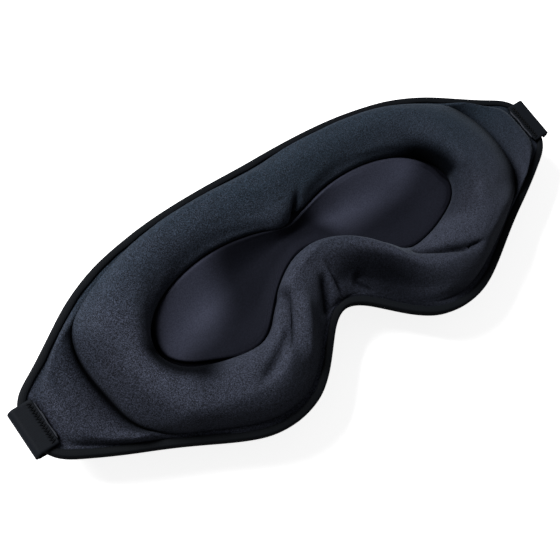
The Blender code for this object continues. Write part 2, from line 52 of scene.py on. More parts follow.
# ------------------------------------------------------------------ plan curves
# Right half, one (x, y) per curve, from the forehead middle round the tip to the nose middle.
# Columns: outline, ring foot, ring crest, cavity lip, cavity middle.
STATIONS = [
    ((0, 46.3), (0, 41.9), (0, 32.5), (0, 15.4), (0, 13.2)),
    ((15, 46.5), (15, 42.0), (13, 33.5), (9, 19.6), (8, 12.4)),
    ((30, 46.2), (29.6, 41.7), (28, 34), (25, 22.8), (20, 10)),
    ((44, 45.2), (43.2, 40.7), (41, 33), (38, 22.6), (30, 8)),
    ((57, 43.2), (55.6, 38.8), (53.5, 30.5), (49, 20.5), (38, 6.5)),
    ((70, 40.2), (67.5, 35.6), (64.5, 26.3), (58.5, 17), (44, 5)),
    ((84, 34.3), (79.6, 30.4), (73.5, 20.3), (65, 11.5), (48, 4)),
    ((96, 26.7), (88.2, 25.4), (79.0, 13.5), (68, 6.5), (50, 2.5)),
    ((106, 20.2), (92.8, 19.3), (81.3, 6.5), (68.8, 2), (51, 1)),
    ((116, 13.8), (95.0, 10.0), (82.0, 1), (68.5, -1), (51, 0)),
    ((119.2, 2.4), (95.8, 0.5), (81.4, -5), (67, -4.5), (50, -1)),
    ((116.2, -9.0), (95.3, -8.5), (79.2, -11.5), (64, -8), (48, -2)),
    ((106, -15.8), (92.8, -15.2), (75.2, -17.5), (59.5, -10.3), (45, -2.5)),
    ((95, -21.7), (87.4, -20.3), (69.5, -21.8), (54, -12.5), (41, -3)),
    ((84, -27.0), (79.3, -24.8), (62.5, -25.3), (48.5, -14.2), (37, -3)),
    ((74, -32.3), (70.5, -29.4), (55, -28), (43.5, -15.2), (33, -2.5)),
    ((62, -39.0), (59.6, -34.9), (47.5, -29.4), (39, -15.6), (29, -1.5)),
    ((51.5, -43.5), (50.6, -38.8), (40.5, -28.8), (35.5, -15.2), (25, 0.5)),
    ((41.5, -44.7), (41.5, -40.1), (34.5, -26.5), (32, -13.8), (21, 3)),
    ((33.5, -43.6), (35.0, -39.3), (29.8, -22.5), (28.5, -11.3), (17, 6)),
    ((27, -41.2), (29.5, -37.5), (25, -16.5), (24, -7), (13, 8.2)),
    ((20, -36.2), (23.4, -33.2), (20.5, -10.5), (19, -2.2), (9, 9.7)),
    ((13, -29.4), (16.6, -26.6), (15, -5), (13, 1.8), (6, 10.4)),
    ((6.5, -23.3), (9.0, -19.5), (8.5, -0.6), (7, 4.6), (3, 10.7)),
    ((0, -20.6), (0, -16.2), (0, 1.4), (0, 6), (0, 10.8)),
]
# Temple pad's outer edge by station; elsewhere it follows the outline at PANEL_INSET.
TIP_PANEL = {8: (104.2, 16.6), 9: (110.6, 11.4), 10: (111.6, 2.4), 11: (110.8, -6.8),
             12: (104.2, -12.2)}
PANEL_INSET = 3.1


def catmull_rom(p0, p1, p2, p3, t):
    return 0.5 * (2 * p1 + (p2 - p0) * t + (2 * p0 - 5 * p1 + 4 * p2 - p3) * t ** 2
                  + (3 * p1 - p0 - 3 * p2 + p3) * t ** 3)


def full_curve(half, soften=1.2):
    """Mirror a half curve, sample it with a closed spline and blur it by `soften` half stations."""
    mirrored = [(-x, y) for x, y in reversed(half[1:-1])]
    ring = np.array(list(half) + mirrored, float) - (0, MIDDLE_Y)
    count = len(ring)
    position = np.arange(N) * count / N
    first = position.astype(int)
    t = (position - first)[:, None]
    curve = catmull_rom(*(ring[(first + shift) % count] for shift in (-1, 0, 1, 2)), t)
    sigma = soften * N / count / 2
    reach = int(3 * sigma)
    kernel = np.exp(-0.5 * (np.arange(-reach, reach + 1) / sigma) ** 2)
    kernel /= kernel.sum()
    return sum(kernel[j + reach] * np.roll(curve, -j, axis=0) for j in range(-reach, reach + 1))


def scalar_curve(values):
    """A value per column from a value per station."""
    return full_curve([(0.0, value) for value in values], soften=1.0)[:, 1] + MIDDLE_Y


def unit(vectors):
    return vectors / np.linalg.norm(vectors, axis=-1, keepdims=True)


def between(start, end, share):
    """Plan curve part of the way between two others; the share is a number or one per column."""
    return start + (end - start) * np.reshape(share, (-1, 1))


def inset(distance):
    return OUTLINE + OUTLINE_INWARD * np.reshape(distance, (-1, 1))


def level(plan, height):
    """A row of points: a plan curve at a height above the border's middle plane."""
    return np.column_stack([plan, np.full(N, MID_Z + height)])


def smooth_step(low, high, value):
    t = np.clip((value - low) / (high - low), 0, 1)
    return t * t * (3 - 2 * t)


# Station number of each column, counted 0 to 24 down both sides.
STATION = np.arange(N) * 48.0 / N
STATION = np.where(STATION <= 24, STATION, 48 - STATION)
LEFT = np.arange(N) > N // 2


def window(rise, fall, value=STATION):
    """1 between a smooth rise and a smooth fall, 0 outside; by station unless told otherwise."""
    return smooth_step(*rise, value) * (1 - smooth_step(*fall, value))


WING = window(rise=(5.6, 8.2), fall=(12.0, 14.6))       # temples
ENDS = window(rise=(4.6, 6.4), fall=(11.8, 13.6))       # outer end of each cavity

OUTLINE = full_curve([station[0] for station in STATIONS], soften=0.6)
FOOT, CREST, LIP, MIDDLE = (full_curve([station[k] for station in STATIONS]) for k in range(1, 5))

along_outline = unit(np.roll(OUTLINE, -1, axis=0) - np.roll(OUTLINE, 1, axis=0))
OUTLINE_INWARD = np.stack([along_outline[:, 1], -along_outline[:, 0]], 1)

near = inset(PANEL_INSET)[::COLUMNS_PER_STATION] + (0, MIDDLE_Y)
PANEL = full_curve([TIP_PANEL.get(k, tuple(near[k])) for k in range(25)], soften=0.5)

# ------------------------------------------------------------------ values round the ring
CREASE_Z = 1.9                  # lowest line of the ring
CREST_Z = scalar_curve([12.2, 12.2, 12.2, 12.3, 12.6, 13.2, 13.8, 14.0, 14.0, 14.0, 14.0, 14.0,
                        13.8, 13.6, 13.4, 13.2, 13.0, 12.8, 12.6, 12.2, 11.8, 11.4, 11.0, 10.7,
                        10.5])
LIP_Z = scalar_curve([4.6, 5.0, 5.2, 5.0, 4.4, 3.6, 2.9, 2.5, 2.4, 2.4, 2.4, 2.4, 2.4,
                      2.5, 2.6, 2.6, 2.6, 2.6, 2.6, 2.6, 2.6, 2.8, 3.0, 3.2, 3.2])
# Superellipse exponents of the ring's section: larger is squarer.
OUTER_SQUARE = scalar_curve([2.4, 2.4, 2.4, 2.4, 2.35, 2.3, 2.2, 2.2, 2.2, 2.2, 2.2, 2.2, 2.2,
                             2.1, 2.0, 1.9, 1.85, 1.8, 1.7, 1.55, 1.45, 1.4, 1.4, 1.4, 1.4])
OUTER_SQUARE = np.where(LEFT, OUTER_SQUARE, OUTER_SQUARE - 0.45 * WING)
INNER_SQUARE = 1.6 + 0.4 * smooth_step(3.5, 5.5, STATION)
# Wall of the nose arch, right side only.
HOLLOW = scalar_curve([0] * 19 + [0.3, 0.8, 1.0, 1.0, 0.8, 0.3]) * ~LEFT

# The two temples aren't quite alike: each foot moves toward +X, the left with a local bulge.
FOOT[:, 0] += np.where(LEFT, 1.7, 0.5) * WING
LEFT_BULGE = 3.2 * np.exp(-((STATION - 10.9) / 2.0) ** 2) * LEFT
FOOT = FOOT + np.outer(LEFT_BULGE, (1.0, 0.12))
CREST = CREST + (LIP - CREST) * (0.30 * HOLLOW + 0.30 * ENDS)[:, None]
OUTWARD = unit(CREST - LIP)     # in plan, from the cavity lip to the crest
PAD_WIDTH = np.linalg.norm(FOOT - PANEL, axis=1)


# ------------------------------------------------------------------ mesh helpers
def new_mesh(name, verts, faces):
    """Mesh from points in millimetres, faces turned outward."""
    mesh = bpy.data.meshes.new(name)
    mesh.from_pydata([tuple(point) for point in np.asarray(verts).reshape(-1, 3) * MM], [],
                     [tuple(int(i) for i in face) for face in faces])
    mesh.validate()
    mesh.update()
    build = bmesh.new()
    build.from_mesh(mesh)
    bmesh.ops.recalc_face_normals(build, faces=build.faces)
    build.to_mesh(mesh)
    build.free()
    return mesh


def add_object(name, data):
    made = bpy.data.objects.new(name, data)
    bpy.context.scene.collection.objects.link(made)
    return made


def add_piece(name, verts, faces, material, slot, replaces=None, body="mask", shade=None):
    """Smooth piece of the product; `shade` is painted shade on its colour, 0 to 1 per vertex."""
    mesh = new_mesh(name, verts, faces)
    for polygon in mesh.polygons:
        polygon.use_smooth = True
    if shade is not None:
        attribute = mesh.attributes.new("shade", "FLOAT", "POINT")
        attribute.data.foreach_set("value", np.asarray(shade, np.float32))
    piece = add_object(name, mesh)
    mesh.materials.append(material)
    if replaces:
        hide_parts(replaces)
    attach(piece, body)


def loft_faces(levels, n, closed_row=True, closed_levels=False, base=0):
    """Quads between successive rows of n points, starting at vertex `base`."""
    faces = []
    for low in range(levels if closed_levels else levels - 1):
        high = (low + 1) % levels
        i = np.arange(n if closed_row else n - 1)
        j = (i + 1) % n
        faces += list(zip(base + low * n + i, base + low * n + j,
                          base + high * n + j, base + high * n + i))
    return faces


def tube_faces(rings, sides):
    last = (rings - 1) * sides
    return loft_faces(rings, sides) + [tuple(range(sides))[::-1], tuple(range(last, last + sides))]


def cap_faces(base, n):
    """Close the innermost loop by a ladder between its forehead and nose halves."""
    half = n // 2
    faces = []
    for i in range(half // 2):
        for rung in ((i, i + 1, half - i - 1, half - i),
                     ((n - i) % n, n - i - 1, half + i + 1, half + i)):
            corners = list(dict.fromkeys(rung))
            if len(corners) > 2:
                faces.append(tuple(base + k for k in corners))
    return faces


def add_bowl(name, top, bottom, material, **piece):
    """Closed body between two grids whose innermost loops are capped."""
    levels, n = top.shape[:2]
    verts = np.concatenate([top.reshape(-1, 3), bottom[::-1].reshape(-1, 3)])
    faces = loft_faces(levels, n) + loft_faces(len(bottom), n, base=levels * n)
    faces += cap_faces((levels - 1) * n, n) + cap_faces(levels * n, n)
    rim = (levels + len(bottom) - 1) * n
    i = np.arange(n)
    j = (i + 1) % n
    faces += list(zip(rim + i, rim + j, j, i))
    add_piece(name, verts, faces, material, **piece)


def grid_normals(grid):
    """Upward normals of a (level, column, 3) grid that is closed in columns."""
    along = np.roll(grid, -1, axis=1) - np.roll(grid, 1, axis=1)
    across = np.empty_like(grid)
    across[1:-1] = grid[2:] - grid[:-2]
    across[0] = grid[1] - grid[0]
    across[-1] = grid[-1] - grid[-2]
    normal = np.cross(along, across)
    normal = normal / np.maximum(np.linalg.norm(normal, axis=2, keepdims=True), 1e-9)
    if np.mean(normal[:len(grid) // 2, :, 2]) < 0:
        normal = -normal
    return normal


LATTICE_SIZE = 32
LATTICE = np.random.RandomState(7).rand(LATTICE_SIZE, LATTICE_SIZE, LATTICE_SIZE) * 2 - 1


def value_noise(points, scale):
    """Smooth repeatable noise, -1 to 1, on a lattice of `scale` millimetres."""
    cell = np.floor(points / scale).astype(int)
    part = points / scale - cell
    part = part * part * (3 - 2 * part)
    total = 0
    for corner in np.ndindex(2, 2, 2):
        weight = np.prod(np.where(corner, part, 1 - part), axis=-1)
        x, y, z = np.moveaxis((cell + corner) % LATTICE_SIZE, -1, 0)
        total = total + weight * LATTICE[x, y, z]
    return total


# ------------------------------------------------------------------ shader helpers
class Shader:
    """A material's node tree around one Principled surface."""

    def __init__(self, name):
        self.material = bpy.data.materials.new(name)
        self.material.use_nodes = True
        self.tree = self.material.node_tree
        self.tree.nodes.clear()
        self.output = self.node("ShaderNodeOutputMaterial")
        self.surface = self.node("ShaderNodeBsdfPrincipled")
        self.feed(self.output.inputs[0], self.surface.outputs[0])

    def node(self, kind, **settings):
        made = self.tree.nodes.new(kind)
        for key, value in settings.items():
            setattr(made, key, value)
        return made

    def feed(self, socket, value):
        """Link an input to an output, or set it to a number, vector or colour."""
        if isinstance(value, bpy.types.NodeSocket):
            self.tree.links.new(value, socket)
        elif socket.type == "RGBA":
            socket.default_value = (*value, 1)
        else:
            socket.default_value = value

    def filled(self, kind, inputs, **settings):
        """A node with its inputs fed by name or number."""
        made = self.node(kind, **settings)
        for key, value in inputs.items():
            self.feed(made.inputs[key], value)
        return made

    def set_surface(self, inputs):
        for key, value in inputs.items():
            self.feed(self.surface.inputs[key], value)

    def place(self, scale=1000.0):
        """Object coordinates, in millimetres unless another scale is given."""
        source = self.node("ShaderNodeTexCoord").outputs["Object"]
        return self.filled("ShaderNodeMapping", {0: source, "Scale": (scale,) * 3}).outputs[0]

    def math(self, operation, *values, clamp=False):
        made = self.filled("ShaderNodeMath", dict(enumerate(values)),
                           operation=operation, use_clamp=clamp)
        return made.outputs[0]

    def scaled(self, value, gain, shift, clamp=False):
        return self.math("MULTIPLY_ADD", value, gain, shift, clamp=clamp)

    def weighted(self, first, first_weight, second, second_weight):
        return self.math("ADD", self.math("MULTIPLY", first, first_weight),
                         self.math("MULTIPLY", second, second_weight))

    def mix(self, factor, first, second):
        made = self.filled("ShaderNodeMix", {}, data_type="RGBA")
        for index, value in ((0, factor), (6, first), (7, second)):
            self.feed(made.inputs[index], value)
        return made.outputs[2]

    def two_tone(self, factor, base, dark, light):
        return self.mix(factor, tuple(c * dark for c in base), tuple(c * light for c in base))

    def scale_colour(self, colour, factor):
        inputs = {0: colour, "Scale": factor}
        return self.filled("ShaderNodeVectorMath", inputs, operation="SCALE").outputs[0]

    def grey_ramp(self, factor, stops):
        """Colour ramp from (position, grey) stops."""
        made = self.node("ShaderNodeValToRGB")
        elements = made.color_ramp.elements
        while len(elements) < len(stops):
            elements.new(0.5)
        for element, (position, grey) in zip(elements, stops):
            element.position = position
            element.color = (grey, grey, grey, 1)
        self.feed(made.inputs[0], factor)
        return made.outputs[0]

    def noise(self, place, scale, detail=2.0, roughness=0.5, distortion=0.0):
        inputs = {"Scale": scale, "Detail": detail, "Roughness": roughness,
                  "Distortion": distortion, "Vector": place}
        return self.filled("ShaderNodeTexNoise", inputs).outputs[0]

    def cells(self, place, scale):
        inputs = {"Scale": scale, "Vector": place}
        return self.filled("ShaderNodeTexVoronoi", inputs).outputs["Distance"]

    def along(self, place, direction):
        """Distance along a direction in the XY plane, in millimetres."""
        inputs = {0: place, 1: (*direction, 0.0)}
        made = self.filled("ShaderNodeVectorMath", inputs, operation="DOT_PRODUCT")
        return made.outputs["Value"]

    def bump(self, height, strength, distance):
        """Bump the surface; the distance is in metres."""
        inputs = {"Strength": strength, "Distance": distance, "Height": height}
        self.set_surface({"Normal": self.filled("ShaderNodeBump", inputs).outputs[0]})

    def colour_with_painted_shade(self, colour, reach=0.009, power=1.1, low=0.2):
        """Base colour with painted shade: darker where cloth folds in on itself, and darker again
        by the "shade" attribute.

        The reach is in metres; `low` is the light left in the deepest fold. Specular and
        sheen, set beforehand, fade with it.
        """
        # painted shade: ambient occlusion darkens the base colour in folds and creases
        occlusion = self.filled("ShaderNodeAmbientOcclusion", {"Distance": reach}, samples=6)
        light = self.math("POWER", occlusion.outputs["AO"], power)
        light = self.scaled(light, gain=1 - low, shift=low)
        # painted shade: the per-vertex "shade" attribute darkens the colour further
        painted_shading = self.node("ShaderNodeAttribute", attribute_name="shade")
        light = self.math("MULTIPLY", light, self.math("SUBTRACT", 1.0, painted_shading.outputs["Fac"]))
        for key in ("Specular IOR Level", "Sheen Weight"):
            full = self.surface.inputs[key].default_value
            self.set_surface({key: self.math("MULTIPLY", light, full)})
        self.set_surface({"Base Color": self.scale_colour(colour, light)})


# ------------------------------------------------------------------ materials
def brushed_fabric(name, brow, cheek):
    """Brushed microfibre: felted nap with painted glints on its fibre tips, bluer over the brow."""
    shader = Shader(name)
    place = shader.place()
    drift = shader.noise(place, scale=0.022, detail=3.0, roughness=0.55)
    browward = shader.scaled(shader.along(place, (0.12, 1.0)), gain=0.026, shift=0.12)
    tone = shader.math("ADD", browward, shader.scaled(drift, gain=1.4, shift=-0.7), clamp=True)
    colour = shader.mix(tone, cheek, brow)

    nap = shader.noise(place, scale=1.7, detail=3.0, roughness=0.7, distortion=0.5)
    fine = shader.noise(place, scale=3.4, roughness=0.6)
    # The grain and the painted glints are stronger toward the left of the forehead.
    contrast = shader.scaled(shader.along(place, (-0.78, 0.59)), gain=0.0035, shift=0.62,
                             clamp=True)
    speck = 2.5
    darkest = 0.25
    amount = shader.math("MULTIPLY", contrast, speck)
    grain = shader.math("ADD", shader.scaled(nap, gain=2.4, shift=-1.2),
                        shader.scaled(fine, gain=2.8, shift=-1.4))
    light = shader.math("MAXIMUM", shader.scaled(grain, gain=amount, shift=1.0), darkest)
    colour = shader.scale_colour(colour, light)

    # painted glints: bright specks standing for light caught on fibre tips
    tip = shader.grey_ramp(shader.cells(place, scale=1.9), [(0.0, 1), (0.2, 0.4), (0.36, 0)])
    glint_patches = shader.grey_ramp(shader.noise(place, scale=0.6, detail=1.0), [(0.40, 0.2), (0.58, 1)])
    glint_strength = 0.85
    tips = shader.math("MULTIPLY", shader.math("MULTIPLY", tip, glint_patches),
                       shader.math("MULTIPLY", contrast, glint_strength))
    glint_gain, glint_lift = 4.6, 0.015
    colour = shader.mix(tips, colour, tuple(min(1, c * glint_gain + glint_lift) for c in cheek))

    shader.set_surface({"Roughness": 0.8, "Specular IOR Level": 0.14, "Sheen Weight": 0.08,
                        "Sheen Roughness": 0.5, "Sheen Tint": (0.72, 0.84, 1.0)})
    # painted shade in folds and from the "shade" attribute
    shader.colour_with_painted_shade(colour)
    height = shader.weighted(nap, 0.7, second=fine, second_weight=0.5)
    shader.bump(height, strength=0.5, distance=0.0004)
    return shader.material


def knit_fabric(name, base, pitch=0.55, sheen=0.06, speck=0.25):
    """Smooth warp knit: fine staggered loops."""
    shader = Shader(name)
    place = shader.place()
    x, y, z = shader.filled("ShaderNodeSeparateXYZ", {0: place}).outputs
    wave_number = 2 * math.pi / pitch
    z_share, course_ratio = 0.7, 0.8        # slant of the courses, their pitch against the wales
    wales = shader.math("SINE", shader.math("MULTIPLY", x, wave_number))
    slanted = shader.math("ADD", y, shader.math("MULTIPLY", z, z_share))
    courses = shader.math("SINE", shader.math("MULTIPLY", slanted, wave_number * course_ratio))
    loops = shader.scaled(shader.math("MULTIPLY", wales, courses), gain=0.5, shift=0.5)
    fine = shader.noise(place, scale=2.2, roughness=0.6)
    drift = shader.noise(place, scale=0.03)
    light = shader.scaled(loops, gain=0.35, shift=0.65)
    light = shader.math("ADD", light, shader.scaled(fine, gain=speck * 2, shift=-speck))
    light = shader.math("MULTIPLY", light, shader.scaled(drift, gain=0.6, shift=0.7))
    shader.set_surface({"Roughness": 0.75, "Specular IOR Level": 0.14, "Sheen Weight": sheen,
                        "Sheen Roughness": 0.4, "Sheen Tint": (0.8, 0.85, 1.0)})
    # painted shade in folds and from the "shade" attribute
    shader.colour_with_painted_shade(shader.scale_colour(base, light), reach=0.005, power=1.0, low=0.5)
    height = shader.weighted(loops, 0.6, second=fine, second_weight=0.4)
    shader.bump(height, strength=0.3, distance=0.0002)
    return shader.material


def webbing(name, base):
    """Woven elastic: ribs along X with staggered picks across."""
    shader = Shader(name)
    place = shader.place()
    x, y, z = shader.filled("ShaderNodeSeparateXYZ", {0: place}).outputs
    rib_pitch, pick_pitch = 0.7, 0.8

    def ridges(angle):
        return shader.math("ABSOLUTE", shader.math("SINE", angle))

    ribs = ridges(shader.math("MULTIPLY", y, math.pi / rib_pitch))
    rib_number = shader.math("FLOOR", shader.math("DIVIDE", y, rib_pitch))
    stagger = shader.math("MULTIPLY", rib_number, math.pi / 2)
    run = shader.math("MULTIPLY", shader.math("ADD", x, z), math.pi / pick_pitch)
    picks = ridges(shader.math("ADD", run, stagger))
    weave = shader.weighted(ribs, 0.55, second=picks, second_weight=0.45)
    fuzz = shader.noise(place, scale=2.5, detail=3.0, roughness=0.7)
    light = shader.math("ADD", shader.scaled(weave, gain=0.2, shift=0.8),
                        shader.scaled(fuzz, gain=1.2, shift=-0.6))
    shader.set_surface({"Roughness": 0.7, "Specular IOR Level": 0.12, "Sheen Weight": 0.03,
                        "Sheen Tint": (0.75, 0.85, 1)})
    # painted shade in folds
    shader.colour_with_painted_shade(shader.scale_colour(base, light), reach=0.006)
    fuzz_height = 0.3
    height = shader.math("ADD", weave, shader.math("MULTIPLY", fuzz, fuzz_height))
    shader.bump(height, strength=0.2, distance=0.0001)
    return shader.material


def foam(name, base):
    shader = Shader(name)
    cells = shader.cells(shader.place(), scale=1.6)
    shader.set_surface({"Base Color": shader.two_tone(cells, base, dark=0.6, light=1.3),
                        "Roughness": 0.95})
    shader.bump(cells, strength=0.5, distance=0.0004)
    return shader.material


def thread(name, base):
    shader = Shader(name)
    inputs = {"Scale": 1.4, "Distortion": 1.5, "Vector": shader.place()}
    twist = shader.filled("ShaderNodeTexWave", inputs).outputs["Fac"]
    shader.set_surface({"Base Color": shader.two_tone(twist, base, dark=0.6, light=1.5),
                        "Roughness": 0.6, "Specular IOR Level": 0.12, "Sheen Weight": 0.02})
    shader.bump(twist, strength=0.6, distance=0.0002)
    return shader.material


def plastic(name, base):
    shader = Shader(name)
    place = shader.place()
    grain = shader.noise(place, scale=1.3, detail=3.0, roughness=0.6)
    drift = shader.noise(place, scale=0.08)
    shader.set_surface({"Base Color": shader.two_tone(drift, base, dark=0.8, light=1.3),
                        "Roughness": shader.scaled(grain, gain=0.25, shift=0.25)})
    shader.bump(grain, strength=0.15, distance=0.0001)
    return shader.material


FACE = brushed_fabric("face_fabric", brow=(0.0108, 0.0180, 0.0285), cheek=(0.0220, 0.0252, 0.0385))
CUP = knit_fabric("cup_fabric", (0.043, 0.0470, 0.074), speck=0.55)
COVER = knit_fabric("cover_fabric", (0.016, 0.019, 0.028))
BINDING = knit_fabric("binding_fabric", (0.0028, 0.0042, 0.0064), pitch=0.7, sheen=0.03)
WEBBING = webbing("webbing", (0.0042, 0.0058, 0.0088))
THREAD = thread("thread", (0.0032, 0.0042, 0.0062))
FOAM = foam("slow_foam", (0.10, 0.10, 0.11))
SHELL_FOAM = foam("shell_foam_mat", (0.06, 0.062, 0.07))
PLASTIC = plastic("slider_plastic", (0.012, 0.012, 0.013))
# lighter colour for the tab hems: a painted highlight along the turned-over edge
HEM_GLINT_THREAD = thread("hem_glint_thread", (0.035, 0.038, 0.048))

# ------------------------------------------------------------------ face liner
# Rows of the liner, from the border inward: 3 border rows, temple pad, ring's outer half up to
# the crest, its inner half down to the lip, and the tuck under the lip.
PAD_STEPS, OUTER_STEPS, INNER_STEPS, TUCK_STEPS = 20, 26, 20, 5
PAD_ROW = 3
RING_ROW = PAD_ROW + PAD_STEPS
CREST_ROW = RING_ROW + OUTER_STEPS
LIP_ROW = CREST_ROW + INNER_STEPS
FACE_ROWS = LIP_ROW + TUCK_STEPS + 1

PANEL_Z = 1.25                  # height of the temple pad's outer edge
PAD_RISE = 4.5
PAD_RISE_SHARE = 0.36           # share of the pad's width taken by its outer rise
LINER_THICKNESS = 0.45


def outer_angle(step):
    """Angle up the ring's outer half, closer steps near the foot."""
    return math.pi / 2 * (step / OUTER_STEPS) ** 1.1


def pad_row(share):
    """Temple pad: quick rise at its edge, nearly flat top, then a long roll into the crease."""
    if share < PAD_RISE_SHARE:
        rise, roll = share / PAD_RISE_SHARE, 0.0
    else:
        rise, roll = 1.0, (share - PAD_RISE_SHARE) / (1 - PAD_RISE_SHARE)
    climb = (1 - (1 - rise) ** 2.4) * (PAD_RISE - 0.4 * (1 - rise))
    shoulder = 1 - math.sqrt(max(0.0, 1 - roll ** 2.4))
    padded = PANEL_Z + climb - (PAD_RISE + 0.2) * (0.35 * roll ** 2.6 + 0.65 * shoulder)
    plain = PANEL_Z + share * (CREASE_Z - PANEL_Z)
    wide = smooth_step(3.0, 9.0, PAD_WIDTH)
    return level(between(PANEL, FOOT, share), plain + (padded - plain) * wide)


def face_grid():
    rows = [level(inset(0.75), 1.15), level(inset(2.2), 1.2),
            level(between(inset(2.2), PANEL, 0.8), PANEL_Z)]
    rows += [pad_row(k / PAD_STEPS) for k in range(PAD_STEPS)]

    foot_z = CREASE_Z - 0.9 * WING
    footward = unit(FOOT - CREST)
    for k in range(OUTER_STEPS + 1):
        angle = outer_angle(k)
        rise = math.sin(angle) ** (2 / OUTER_SQUARE)
        spread = math.cos(angle) ** (2 / OUTER_SQUARE)
        plan = between(CREST, FOOT, spread)
        rise = rise + (1 - smooth_step(0.20, 0.72, spread) - rise) * 0.95 * HOLLOW
        bulge = 0.7 * WING * LEFT * np.exp(-((rise - 0.30) / 0.2) ** 2)
        rows.append(level(plan + footward * bulge[:, None], foot_z + (CREST_Z - foot_z) * rise))

    for k in range(1, INNER_STEPS + 1):
        angle = math.pi / 2 * (k / INNER_STEPS) ** 0.9
        plan = between(CREST, LIP, math.sin(angle) ** (2 / INNER_SQUARE))
        rows.append(level(plan, LIP_Z + (CREST_Z - LIP_Z) * math.cos(angle) ** (2 / INNER_SQUARE)))

    tuck_depth, tuck_z = 1.1, 0.95
    for k in range(1, TUCK_STEPS + 1):
        angle = math.pi / 2 * k / TUCK_STEPS
        rows.append(level(LIP + OUTWARD * tuck_depth * (1 - math.cos(angle)),
                          LIP_Z - (LIP_Z - tuck_z) * math.sin(angle)))
    return np.array(rows)


def line_distance(points, line):
    """Distance in plan from points to a polyline, and the share of its length reached there."""
    lengths = np.linalg.norm(np.diff(line, axis=0), axis=1)
    starts = np.r_[0, np.cumsum(lengths)]
    nearest = np.full(points.shape[:-1], 1e9)
    share = np.zeros(points.shape[:-1])
    for a, b, length, start in zip(line[:-1], line[1:], lengths, starts[:-1]):
        direction = (b - a) / length
        along = np.clip(((points - a) * direction).sum(-1), 0, length)
        distance = np.linalg.norm(points - (a + along[..., None] * direction), axis=-1)
        closer = distance < nearest
        nearest = np.where(closer, distance, nearest)
        share = np.where(closer, (start + along) / starts[-1], share)
    return nearest, share


def crease(points, line, height, width, start=None, end=None, power=1.3):
    """Ridge along a line, fading in over `start` and out over `end`, as shares of its length."""
    distance, share = line_distance(points, np.asarray(line) - (0, MIDDLE_Y))
    fade_in = smooth_step(start[0], start[1] + 1e-6, share) if start else 1.0
    fade_out = 1 - smooth_step(*end, share) if end else 1.0
    return height * fade_in * fade_out * np.exp(-(distance / width) ** power)


def creases(grid, table, left, right):
    """The ridge of each entry in a crease table, masked to its side of the mask."""
    plan = grid[..., :2]
    mirrored = np.stack([np.abs(plan[..., 0]), plan[..., 1]], -1)
    views = {"left": (left, mirrored), "right": (right, mirrored), "middle": (1, plan)}
    for side, line, shape in table:
        weight, points = views[side]
        yield weight * crease(points, line, **shape)


# Lines are (x, y) in plan; those of a "left" or "right" entry are drawn on the +X side.
LEFT_LOBE_FOLD = [(27.0, -14.8), (30.0, -17.8), (33.6, -20.0), (38.0, -23.0), (43.0, -25.8),
                  (47.2, -28.0), (51.0, -29.6)]
RIGHT_LOBE_FOLD = [(31.5, -16.2), (35.5, -19.0), (41.0, -23.4), (47.5, -27.6), (53.0, -29.8),
                   (58.5, -30.4)]
NOSE_GATHER = [(-1.5, -5.0), (-4.2, -10.0), (-6.5, -15.0), (-8.0, -18.5)]
BROW_FOLD = [(0.6, 13.5), (3.2, 17.2), (6.6, 21.0), (9.2, 24.5)]

# Side, line, shape: creases (negative height) and ridges pressed into the ring.
RELIEF = [
    # fold in each lobe, where the nose roll meets the lobe's inner ridge
    ("left", LEFT_LOBE_FOLD, dict(height=-2.1, width=1.5, start=(0.0, 0.12), end=(0.6, 1.0))),
    ("left", LEFT_LOBE_FOLD, dict(height=-0.9, width=4.5, end=(0.7, 1.0), power=2)),
    ("right", RIGHT_LOBE_FOLD, dict(height=-3.2, width=1.25, start=(0.0, 0.1), end=(0.75, 1.0))),
    ("right", RIGHT_LOBE_FOLD, dict(height=-0.9, width=4.5, end=(0.7, 1.0), power=2)),
    # valley and ridge down the left side of the nose arch
    ("left", [(18.5, -3.0), (20.9, -8.5), (24.9, -14.9), (29.0, -21.0), (32.0, -25.5)],
     dict(height=-2.6, width=2.3, start=(0.0, 0.3), end=(0.7, 1.0), power=2)),
    ("left", [(13.0, -7.0), (16.5, -13.0), (20.5, -20.0), (25.5, -27.0), (31.0, -32.5)],
     dict(height=1.9, width=2.8, start=(0.0, 0.3), end=(0.7, 1.0), power=2)),
    # gathers where the nose roll turns over the notch
    ("middle", NOSE_GATHER, dict(height=-1.9, width=1.7, start=(0.0, 0.45), power=1.6)),
    ("middle", [(8.0, -13.5), (10.5, -17.0), (12.5, -21.0)],
     dict(height=-1.9, width=2.2, start=(0.0, 0.2), end=(0.8, 1.0), power=1.8)),
    ("middle", [(1.0, -9.5), (1.8, -14.5)], dict(height=0.8, width=3.0, power=2)),
    # fold in the middle of the forehead band
    ("middle", BROW_FOLD + [(10.5, 27.0)],
     dict(height=-2.6, width=1.35, start=(0.0, 0.08), end=(0.45, 1.0))),
    ("middle", [(-5.5, 17.0), (-2.0, 20.5)], dict(height=0.9, width=4.0, power=2)),
]
# Side, line, shape: lines of painted shade along creases and folds, the height being how dark they
# are painted.
PAINTED_SHADE_LINES = [
    ("left", [(17.5, 0.0), (20.9, -8.5), (24.9, -14.9), (29.0, -21.0), (33.0, -26.5)],
     dict(height=0.62, width=2.0, start=(0.0, 0.2), end=(0.7, 1.0), power=2)),
    ("left", [(30.0, -17.8), (38.0, -23.0), (47.2, -28.0)],
     dict(height=0.5, width=1.3, start=(0.0, 0.2), end=(0.6, 1.0), power=2)),
    ("right", [(33.0, -17.5), (41.0, -23.4), (51.0, -29.0)],
     dict(height=0.6, width=1.3, start=(0.0, 0.2), end=(0.7, 1.0), power=2)),
    ("middle", BROW_FOLD,
     dict(height=0.7, width=1.3, start=(0.0, 0.05), end=(0.4, 1.0), power=2)),
    ("middle", NOSE_GATHER, dict(height=0.6, width=1.6, start=(0.0, 0.4), power=2)),
    ("middle", [(8.0, -14.0), (10.5, -17.5), (12.5, -21.0)],
     dict(height=0.85, width=2.0, start=(0.0, 0.2), end=(0.8, 1.0), power=2)),
]


